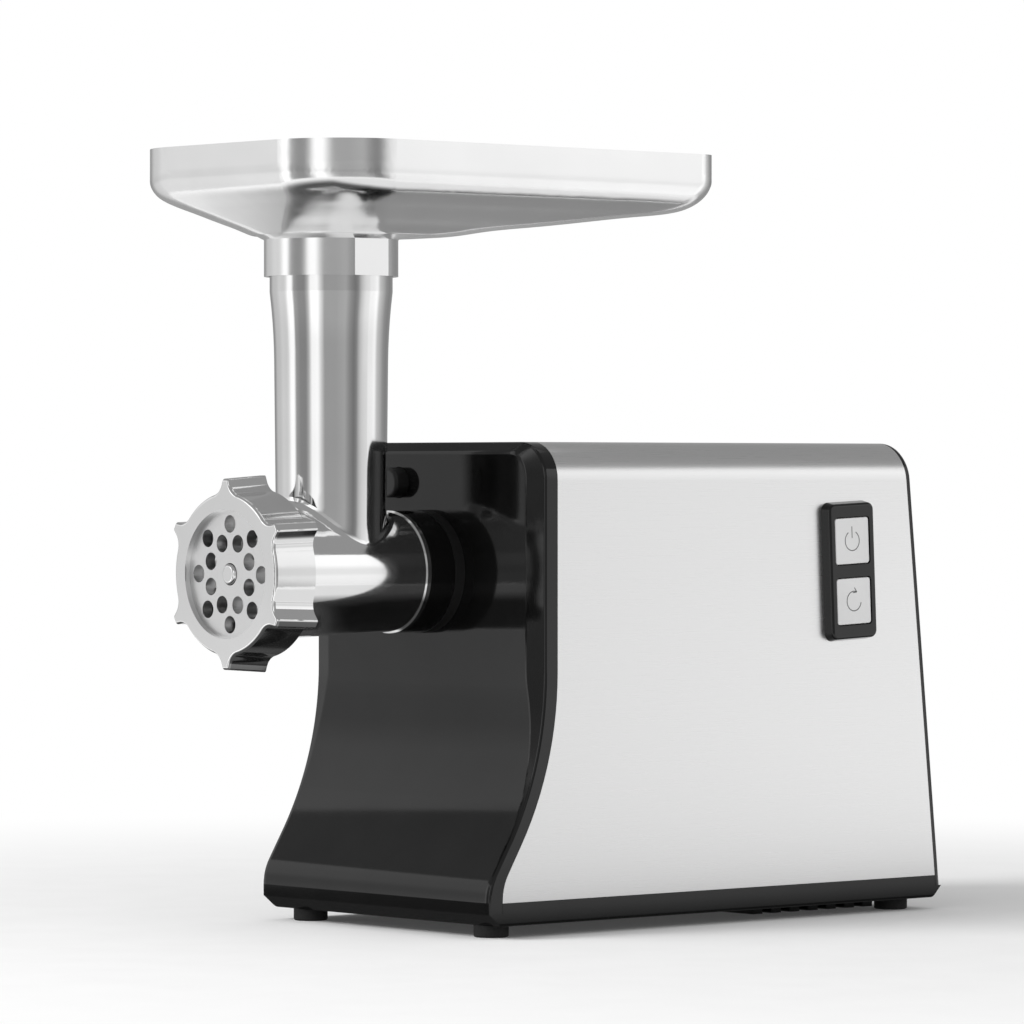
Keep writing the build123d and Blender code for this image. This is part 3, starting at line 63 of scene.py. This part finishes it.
# Icons on the buttons
icon_line = 0.42 * mm
icon_radius = 4.3 * mm
icon_rise = 0.04 * mm  # above the button's face
icon_sink = 0.15 * mm  # below it
power_gap = 62.0  # degrees left open at the top of the ring
power_bar = (1.2 * mm, 6.3 * mm)  # ends of the bar above the ring's centre
arrow_sweep = (65.0, 350.0)  # ends of the reverse arrow's arc
arrow_head = 2.4 * mm

# Screw thread of the head
thread_pitch = 4.0 * mm
thread_height = 0.42 * mm
thread_base = 2.6 * mm
thread_sink = 0.1 * mm  # of the ridge's feet below the head's surface
thread_root = 31.5 * mm  # radius of the head under the thread
thread_span = (-169.2 * mm, -159.8 * mm)  # along Y
thread_steps = 48  # per turn

# Studio
wall_radius = 2.2
wall_bottom = -0.3
wall_top = 1.2
wall_foot = 0.55  # where the wall's sweep over the floor starts, from the middle
wall_steps = 128
ceiling_tone = 0.30
ambient = 0.54
floor_size = 14.0
floor_near = 0.30  # the floor keeps its shading inside this distance
floor_far = 0.80  # and is white beyond this one
floor_painted_glow = 0.05  # share of painted white glow in the floor's shading near the machine, which lifts the deepest shadow
# Tone of the studio wall by direction, in degrees to the right of the camera
wall_tones = (
    (-180, 0.36), (-150, 0.32), (-136, 0.60), (-121, 0.64), (-110, 0.75), (-98, 0.72),
    (-92, 0.80), (-85, 1.25), (-77, 1.25), (-72, 0.38), (-62, 0.28), (-50, 0.27),
    (-44, 0.50), (-38, 1.15), (-26, 1.20), (-20, 0.75), (-13, 0.38), (8, 0.38),
    (26, 0.43), (36, 0.28), (45, 0.20), (51, 0.26), (58, 0.58), (66, 0.78),
    (74, 0.92), (88, 1.02), (98, 1.15), (106, 0.65), (117, 0.50), (130, 0.32),
    (146, 0.26), (180, 0.36),
)
# Its strength by height, as a share of the wall's top
wall_fade = ((0.0, 1.0), (0.12, 0.88), (0.3, 0.88), (0.5, 1.12), (1.0, 1.12))
# Tone of the painted dark reflection under the machine, a glowing disc that only mirrors see and that stands
# in for the floor's shade, by distance in metres from the machine's middle
mirror_shade_tones = ((0.0, 0.07), (0.29, 0.08), (0.36, 0.35), (0.43, 0.80), (0.50, 1.00))
mirror_shade_edge = (0.10, 0.20)  # it also pales between these distances along X
mirror_shade_lean = 0.22  # and this much further out on the far side
mirror_shade_pale = 0.78
mirror_card_rise = 0.2 * mm  # above the floor


def node(tree, kind, inputs=None, **settings):
    """Adds a shader node; its inputs are plain values or the sockets that feed them."""
    made = tree.nodes.new("ShaderNode" + kind)
    for key, value in settings.items():
        setattr(made, key, value)
    for key, value in (inputs or {}).items():
        if isinstance(value, bpy.types.NodeSocket):
            tree.links.new(value, made.inputs[key])
        else:
            made.inputs[key].default_value = value
    return made


def grey(tone):
    """Neutral colour of one tone."""
    return (tone, tone, tone, 1.0)


def object_place(tree):
    """Place on the surface in the machine's own frame, which moves with its piece."""
    return node(tree, "TexCoord").outputs["Object"]


def noise(tree, scale, detail=2.0, stretch=(1.0, 1.0, 1.0)):
    """Noise in the machine's frame; a small stretch draws it out along that axis."""
    mapped = node(tree, "Mapping", {"Vector": object_place(tree), "Scale": stretch})
    return node(
        tree, "TexNoise", {"Vector": mapped.outputs["Vector"], "Scale": scale, "Detail": detail}
    ).outputs["Fac"]


def spread(tree, factor, low, high):
    """Number between two values, steered by noise, which lies mostly between 0.3 and 0.7."""
    return node(
        tree, "MapRange",
        {"Value": factor, "From Min": 0.3, "From Max": 0.7, "To Min": low, "To Max": high},
    ).outputs["Result"]


def tint(tree, factor, dark, light):
    """Colour between two, steered by noise."""
    ramp = node(tree, "ValToRGB", {"Fac": factor})
    for stop, place, colour in zip(ramp.color_ramp.elements, (0.3, 0.7), (dark, light)):
        stop.position = place
        stop.color = colour
    return ramp.outputs["Color"]


def finish(name, colour, roughness, relief=None, depth=0.0, **sockets):
    """Principled material; colour, roughness and relief are functions of the tree that give a socket."""
    made = bpy.data.materials.new(name)
    made.use_nodes = True
    tree = made.node_tree
    shader = tree.nodes["Principled BSDF"]
    for socket, value in sockets.items():
        shader.inputs[socket.replace("_", " ")].default_value = value
    tree.links.new(colour(tree), shader.inputs["Base Color"])
    tree.links.new(roughness(tree), shader.inputs["Roughness"])
    if relief:
        bump = node(tree, "Bump", {"Height": relief(tree), "Distance": depth})
        tree.links.new(bump.outputs["Normal"], shader.inputs["Normal"])
    return made


def moulded(name, dark, light, rough, grain, depth, **sockets):
    """Moulded plastic or rubber with a spark-eroded grain."""
    return finish(
        name,
        lambda tree: tint(tree, noise(tree, 45.0, 3.0), dark, light),
        lambda tree: spread(tree, noise(tree, grain, 3.0), *rough),
        lambda tree: noise(tree, grain, 3.0),
        depth,
        **sockets,
    )


def polished(name, dark, light, rough, ripple, depth):
    """Polished metal with faint smears in its gloss and a slow ripple in its surface."""
    return finish(
        name,
        lambda tree: tint(tree, noise(tree, 30.0, 4.0), dark, light),
        lambda tree: spread(tree, noise(tree, 70.0, 5.0), *rough),
        lambda tree: noise(tree, ripple, 1.0),
        depth,
        Metallic=1.0,
    )


def brushed(name, dark, light, rough, stretch, depth):
    """Metal brushed along the axis with the small stretch."""
    return finish(
        name,
        lambda tree: tint(tree, noise(tree, 1.0, 3.0, stretch), dark, light),
        lambda tree: spread(tree, noise(tree, 1.0, 3.0, stretch), *rough),
        lambda tree: noise(tree, 1.0, 3.0, stretch),
        depth,
        Metallic=1.0,
    )


def rings(tree, centre, flat, scale):
    """Noise in fine rings about an axis through a centre; flat has 0 along the axis."""
    offset = node(
        tree, "VectorMath", {0: object_place(tree), 1: centre}, operation="SUBTRACT"
    ).outputs["Vector"]
    across = node(tree, "VectorMath", {0: offset, 1: flat}, operation="MULTIPLY").outputs["Vector"]
    radius = node(tree, "VectorMath", {0: across}, operation="LENGTH").outputs["Value"]
    return node(
        tree, "TexNoise", {"W": radius, "Scale": scale, "Detail": 3.0}, noise_dimensions="1D"
    ).outputs["Fac"]


def turned(name, dark, light, rough, centre, flat, scale, depth):
    """Metal faced on a lathe: rings about an axis."""
    return finish(
        name,
        lambda tree: tint(tree, rings(tree, centre, flat, scale), dark, light),
        lambda tree: spread(tree, rings(tree, centre, flat, scale), *rough),
        lambda tree: rings(tree, centre, flat, scale),
        depth,
        Metallic=1.0,
    )


def banded(name, dark, light, rough, axis, scale, depth, **sockets):
    """Layers or turns seen as even bands across an axis."""
    def wave(tree):
        return node(
            tree, "TexWave", {"Vector": object_place(tree), "Scale": scale, "Distortion": 0.4, "Detail": 1.0},
            bands_direction=axis,
        ).outputs["Fac"]

    return finish(
        name,
        lambda tree: tint(tree, wave(tree), dark, light),
        lambda tree: spread(tree, noise(tree, 200.0), *rough),
        wave,
        depth,
        **sockets,
    )


head_centre = (0.0, 0.0, head_z)
about_y = (1.0, 0.0, 1.0)
materials = {
    "gloss_black": moulded(
        "gloss_black", grey(0.003), grey(0.005), (0.06, 0.10), 1400.0, 0.004 * mm, IOR=1.5
    ),
    "satin_black": moulded(
        "satin_black", grey(0.008), grey(0.013), (0.38, 0.52), 2600.0, 0.03 * mm, IOR=1.5
    ),
    "wrap_steel": brushed(
        "wrap_steel", grey(0.83), grey(0.845), (0.27, 0.30), (5000.0, 25.0, 5000.0), 0.0004 * mm
    ),
    "cast_alloy": polished("cast_alloy", grey(0.88), grey(0.92), (0.05, 0.10), 40.0, 0.02 * mm),
    "tray_alloy": polished("tray_alloy", grey(0.93), grey(0.96), (0.15, 0.20), 25.0, 0.006 * mm),
    "tool_steel": turned(
        "tool_steel", grey(0.74), grey(0.82), (0.30, 0.42), head_centre, about_y, 4000.0, 0.01 * mm
    ),
    "bright_steel": turned(
        "bright_steel", grey(0.55), grey(0.68), (0.18, 0.30), head_centre, about_y, 3000.0, 0.01 * mm
    ),
    "silver_plastic": moulded(
        "silver_plastic", grey(0.77), grey(0.82), (0.40, 0.50), 3000.0, 0.01 * mm, Metallic=0.85
    ),
    "rubber_feet": moulded(
        "rubber_feet", grey(0.012), grey(0.022), (0.62, 0.78), 1500.0, 0.06 * mm
    ),
    "gear_resin": moulded(
        "gear_resin", (0.62, 0.59, 0.50, 1.0), (0.72, 0.69, 0.60, 1.0), (0.35, 0.45), 900.0, 0.01 * mm
    ),
    "case_alloy": moulded(
        "case_alloy", grey(0.42), grey(0.55), (0.40, 0.58), 1300.0, 0.05 * mm, Metallic=1.0
    ),
    "motor_iron": banded(
        "motor_iron", grey(0.10), grey(0.22), (0.35, 0.50), "Y", 320.0, 0.05 * mm, Metallic=0.9
    ),
    "copper_wire": banded(
        "copper_wire", (0.30, 0.10, 0.04, 1.0), (0.62, 0.27, 0.12, 1.0), (0.22, 0.34), "DIAGONAL",
        350.0, 0.15 * mm, Metallic=1.0,
    ),
    "bearing_bronze": moulded(
        "bearing_bronze", (0.46, 0.29, 0.12, 1.0), (0.58, 0.39, 0.18, 1.0), (0.32, 0.46), 1800.0,
        0.02 * mm, Metallic=1.0,
    ),
    "carbon": moulded("carbon", grey(0.015), grey(0.035), (0.45, 0.60), 1600.0, 0.03 * mm),
    "board": moulded(
        "board", (0.012, 0.09, 0.035, 1.0), (0.02, 0.14, 0.06, 1.0), (0.30, 0.42), 700.0, 0.02 * mm
    ),
}
icon_ink = moulded("icon_ink", grey(0.10), grey(0.15), (0.45, 0.60), 2500.0, 0.01 * mm)

for row in frame["record"]["subparts"]:
    piece = nodes[row["node"]]
    piece.data.materials.clear()
    piece.data.materials.append(materials[row["material_slot"]])


def add_mesh(name, build, material, body=None):
    """New piece whose mesh is filled by a function of a bmesh."""
    mesh = bpy.data.meshes.new(name)
    shape = bmesh.new()
    build(shape)
    bmesh.ops.recalc_face_normals(shape, faces=shape.faces)
    shape.to_mesh(mesh)
    shape.free()
    mesh.materials.append(material)
    piece = bpy.data.objects.new(name, mesh)
    scene.collection.objects.link(piece)
    if body:
        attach(piece, body)
    return piece


def skin(shape, rows):
    """Faces round a bar given by rows of four corners, closed at both ends."""
    for first, second in zip(rows, rows[1:]):
        for n in range(4):
            shape.faces.new((first[n], first[n - 1], second[n - 1], second[n]))
    shape.faces.new(rows[0])
    shape.faces.new(rows[-1])


def ribbon(shape, points, width, place):
    """Flat bar along a line of (across, up) points, standing in a button's face."""
    rows = []
    for index, point in enumerate(points):
        before = Vector(points[max(index - 1, 0)])
        after = Vector(points[min(index + 1, len(points) - 1)])
        side = (after - before).normalized().orthogonal() * width / 2
        corners = []
        for edge, height in ((side, icon_rise), (-side, icon_rise), (-side, -icon_sink), (side, -icon_sink)):
            at = Vector(point) + edge
            corners.append(shape.verts.new(place @ Vector((at.x, at.y, height))))
        rows.append(corners)
    skin(shape, rows)


def arc_points(radius, start, stop, count=40):
    """Points of an arc about the icon's centre, in degrees."""
    turns = [math.radians(start + (stop - start) * n / count) for n in range(count + 1)]
    return [(radius * math.cos(t), radius * math.sin(t)) for t in turns]


def button_face(button):
    """Frame on a button's face: x across, y up, z out of it."""
    low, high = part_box(button)
    middle = (low + high) / 2
    tilt = Matrix.Rotation(math.radians(button_tilt), 4, "X")
    axes = Matrix(((0, 0, 1, 0), (1, 0, 0, 0), (0, 1, 0, 0), (0, 0, 0, 1)))
    return Matrix.Translation((high.x, middle.y, middle.z)) @ tilt @ axes


def power_icon(shape):
    """Ring open at the top, with a bar in the opening."""
    place = button_face("power_button")
    ribbon(shape, arc_points(icon_radius, 90 + power_gap / 2, 450 - power_gap / 2), icon_line, place)
    ribbon(shape, [(0.0, power_bar[0]), (0.0, power_bar[1])], icon_line, place)


def reverse_icon(shape):
    """Arc with an arrow head, for the reverse run."""
    place = button_face("reverse_button")
    start, stop = arrow_sweep
    ribbon(shape, arc_points(icon_radius, start, stop), icon_line, place)
    tip = Vector(arc_points(icon_radius, start, start + 1)[0])
    turn = math.radians(start - 90)
    for lean in (-150, -210):
        barb = turn + math.radians(lean + 180)
        end = tip + arrow_head * Vector((-math.cos(barb), -math.sin(barb)))
        ribbon(shape, [tuple(tip), tuple(end)], icon_line, place)


def head_thread(shape):
    """Ridge of a right-hand screw on the mouth of the head, fading in and out at its ends."""
    start, stop = thread_span
    count = round((stop - start) / thread_pitch * thread_steps)
    rows = []
    for n in range(count + 1):
        turn = math.tau * n / thread_steps
        y = start + thread_pitch * n / thread_steps
        height = thread_height * min(1.0, 4 * n / thread_steps, 4 * (count - n) / thread_steps)
        row = []
        for along, out in ((-0.5, -thread_sink), (-0.2, height), (0.2, height), (0.5, -thread_sink)):
            radius = thread_root + out
            row.append(shape.verts.new((
                radius * math.sin(turn), y + along * thread_base, head_z + radius * math.cos(turn)
            )))
        rows.append(row)
    skin(shape, rows)


add_mesh("head_thread", head_thread, materials["cast_alloy"], "head")
add_mesh("power_icon", power_icon, icon_ink, "power_key")
add_mesh("reverse_icon", reverse_icon, icon_ink, "reverse_key")


def stage_mesh(name, build, material):
    """Floor, wall or ceiling of the studio."""
    piece = add_mesh(name, build, material)
    return piece


def emission(name):
    """Material that only shines; returns it with its tree and its emission node."""
    made = bpy.data.materials.new(name)
    made.use_nodes = True
    tree = made.node_tree
    tree.nodes.clear()
    glow = node(tree, "Emission")
    out = node(tree, "OutputMaterial", {"Surface": glow.outputs["Emission"]})
    return made, tree, glow, out


def seen_directly(tree):
    """1 for what the camera, a mirror or glass sees, 0 for light that falls on things."""
    path = node(tree, "LightPath")
    either = node(
        tree, "Math", {0: path.outputs["Is Camera Ray"], 1: path.outputs["Is Glossy Ray"]},
        operation="MAXIMUM",
    ).outputs["Value"]
    return node(
        tree, "Math", {0: either, 1: path.outputs["Is Transmission Ray"]}, operation="MAXIMUM"
    ).outputs["Value"]


def tone_ramp(tree, factor, tones):
    """Greys along a factor, given as (place, tone) from 0 to 1."""
    ramp = node(tree, "ValToRGB", {"Fac": factor})
    stops = ramp.color_ramp.elements
    while len(stops) < len(tones):
        stops.new(0.5)
    for stop, (place, tone) in zip(stops, tones):
        stop.position = place
        stop.color = grey(tone)
    return ramp.outputs["Color"]


def studio_wall():
    """Round wall that only mirrors see: soft boxes and dark flags by direction, swept out over the floor."""
    made, tree, glow, _ = emission("studio_wall")
    place = object_place(tree)
    spin = node(tree, "Mapping", {"Vector": place, "Rotation": (0, 0, math.radians(90 - camera_turn))})
    around = node(
        tree, "TexGradient", {"Vector": spin.outputs["Vector"]}, gradient_type="RADIAL"
    ).outputs["Fac"]
    tones = tone_ramp(tree, around, [((degrees + 180) / 360, tone) for degrees, tone in wall_tones])
    height = node(tree, "SeparateXYZ", {"Vector": place}).outputs["Z"]
    share = node(tree, "MapRange", {"Value": height, "From Max": wall_top}).outputs["Result"]
    tree.links.new(tones, glow.inputs["Color"])
    tree.links.new(tone_ramp(tree, share, wall_fade), glow.inputs["Strength"])

    def build(shape):
        ring = bmesh.ops.create_cone(
            shape, segments=wall_steps, radius1=wall_radius, radius2=wall_radius, depth=wall_top - wall_bottom
        )
        bmesh.ops.translate(shape, verts=ring["verts"], vec=(0, 0, (wall_top + wall_bottom) / 2))
        inner, outer = (
            bmesh.ops.create_circle(
                shape, segments=wall_steps, radius=radius, matrix=Matrix.Translation((0, 0, mirror_card_rise))
            )["verts"]
            for radius in (wall_foot, wall_radius)
        )
        for step in range(wall_steps):
            shape.faces.new((inner[step - 1], inner[step], outer[step], outer[step - 1]))

    return stage_mesh("studio_wall", build, made)


def studio_ceiling():
    """Dim ceiling above the wall, also for mirrors only."""
    made, tree, glow, _ = emission("studio_ceiling")
    glow.inputs["Color"].default_value = grey(ceiling_tone)

    def build(shape):
        bmesh.ops.create_circle(
            shape, cap_ends=True, segments=64, radius=wall_radius,
            matrix=Matrix.Translation((0, 0, wall_top)),
        )

    return stage_mesh("studio_ceiling", build, made)


def painted_shade_disc():
    """Round disc on the floor, also for mirrors only: a painted dark reflection in place of the floor's
    shade, which draws the dark lines under bends and barrels.
    """
    made, tree, glow, _ = emission("painted_shade_disc")
    place = object_place(tree)
    radius = node(tree, "VectorMath", {0: place}, operation="LENGTH").outputs["Value"]
    reach = mirror_shade_tones[-1][0]
    share = node(tree, "MapRange", {"Value": radius, "From Max": reach}).outputs["Result"]
    tone = tone_ramp(tree, share, [(far / reach, level) for far, level in mirror_shade_tones])
    along_x = node(tree, "SeparateXYZ", {"Vector": place}).outputs["X"]
    far_side = node(
        tree, "Math", {0: along_x, 1: -1.0, 2: -mirror_shade_lean}, operation="MULTIPLY_ADD"
    ).outputs["Value"]
    across = node(tree, "Math", {0: along_x, 1: far_side}, operation="MAXIMUM").outputs["Value"]
    side = node(
        tree, "MapRange",
        {"Value": across, "From Min": mirror_shade_edge[0], "From Max": mirror_shade_edge[1], "To Max": mirror_shade_pale},
    ).outputs["Result"]
    both = node(tree, "Math", {0: tone, 1: side}, operation="MAXIMUM").outputs["Value"]
    # painted dark reflection: this tone glows for mirrors only, in place of shade on the floor
    tree.links.new(both, glow.inputs["Color"])

    def build(shape):
        bmesh.ops.create_circle(
            shape, cap_ends=True, segments=96, radius=reach, matrix=Matrix.Translation((0, 0, mirror_card_rise))
        )

    return stage_mesh("painted_shade_disc", build, made)


for card in (studio_wall(), studio_ceiling(), painted_shade_disc()):
    card.visible_camera = False
    card.visible_diffuse = False
    card.visible_shadow = False
    card.visible_transmission = False


def studio_floor():
    """Pale floor that keeps the shadow near the machine, lifted by a little painted white glow, and runs out
    to plain white.
    """
    made, tree, glow, out = emission("studio_floor")
    matt = node(tree, "BsdfDiffuse")
    speck = noise(tree, 30.0, 3.0)
    tree.links.new(tint(tree, speck, grey(0.93), grey(0.95)), matt.inputs["Color"])
    radius = node(tree, "VectorMath", {0: object_place(tree)}, operation="LENGTH").outputs["Value"]
    # near the machine the camera and mirrors see a small share of painted white glow, which lifts the shadow
    away = node(
        tree, "MapRange",
        {"Value": radius, "From Min": floor_near, "From Max": floor_far, "To Min": floor_painted_glow},
        interpolation_type="SMOOTHSTEP",
    ).outputs["Result"]
    share = node(tree, "Math", {0: away, 1: seen_directly(tree)}, operation="MULTIPLY").outputs["Value"]
    both = node(
        tree, "MixShader", {"Fac": share, 1: matt.outputs["BSDF"], 2: glow.outputs["Emission"]}
    )
    tree.links.new(both.outputs["Shader"], out.inputs["Surface"])

    def build(shape):
        bmesh.ops.create_grid(shape, x_segments=1, y_segments=1, size=floor_size)

    return stage_mesh("studio_floor", build, made)


studio_floor()


def area_lamp(name, place, target, size, power):
    """Soft box that lights the machine and stays out of its mirrors."""
    lamp = bpy.data.lights.new(name, "AREA")
    lamp.shape = "DISK"
    lamp.size = size
    lamp.energy = power
    made = bpy.data.objects.new(name, lamp)
    made.location = place
    made.rotation_euler = (Vector(target) - Vector(place)).to_track_quat("-Z", "Y").to_euler()
    made.visible_glossy = False
    scene.collection.objects.link(made)


middle = (0.0, 0.0, 0.15)
area_lamp("key_lamp", (-0.7, -1.9, 1.5), middle, 1.2, 40.0)
area_lamp("side_lamp", (2.0, 0.6, 1.3), middle, 1.4, 6.0)

world = bpy.data.worlds.new("studio")
scene.world = world
world.use_nodes = True
backdrop = world.node_tree.nodes["Background"]
level = node(
    world.node_tree, "MapRange", {"Value": seen_directly(world.node_tree), "To Min": ambient, "To Max": 1.0}
)
backdrop.inputs["Color"].default_value = grey(1.0)
world.node_tree.links.new(level.outputs["Result"], backdrop.inputs["Strength"])

camera = bpy.data.cameras.new("camera")
camera.lens = camera_lens
camera.sensor_width = camera_sensor
camera.clip_end = 50.0
eye = bpy.data.objects.new("camera", camera)
eye.location = camera_place
eye.rotation_euler = (math.radians(camera_tilt), 0.0, math.radians(camera_turn))
scene.collection.objects.link(eye)
scene.camera = eye
scene.view_settings.view_transform = "Standard"
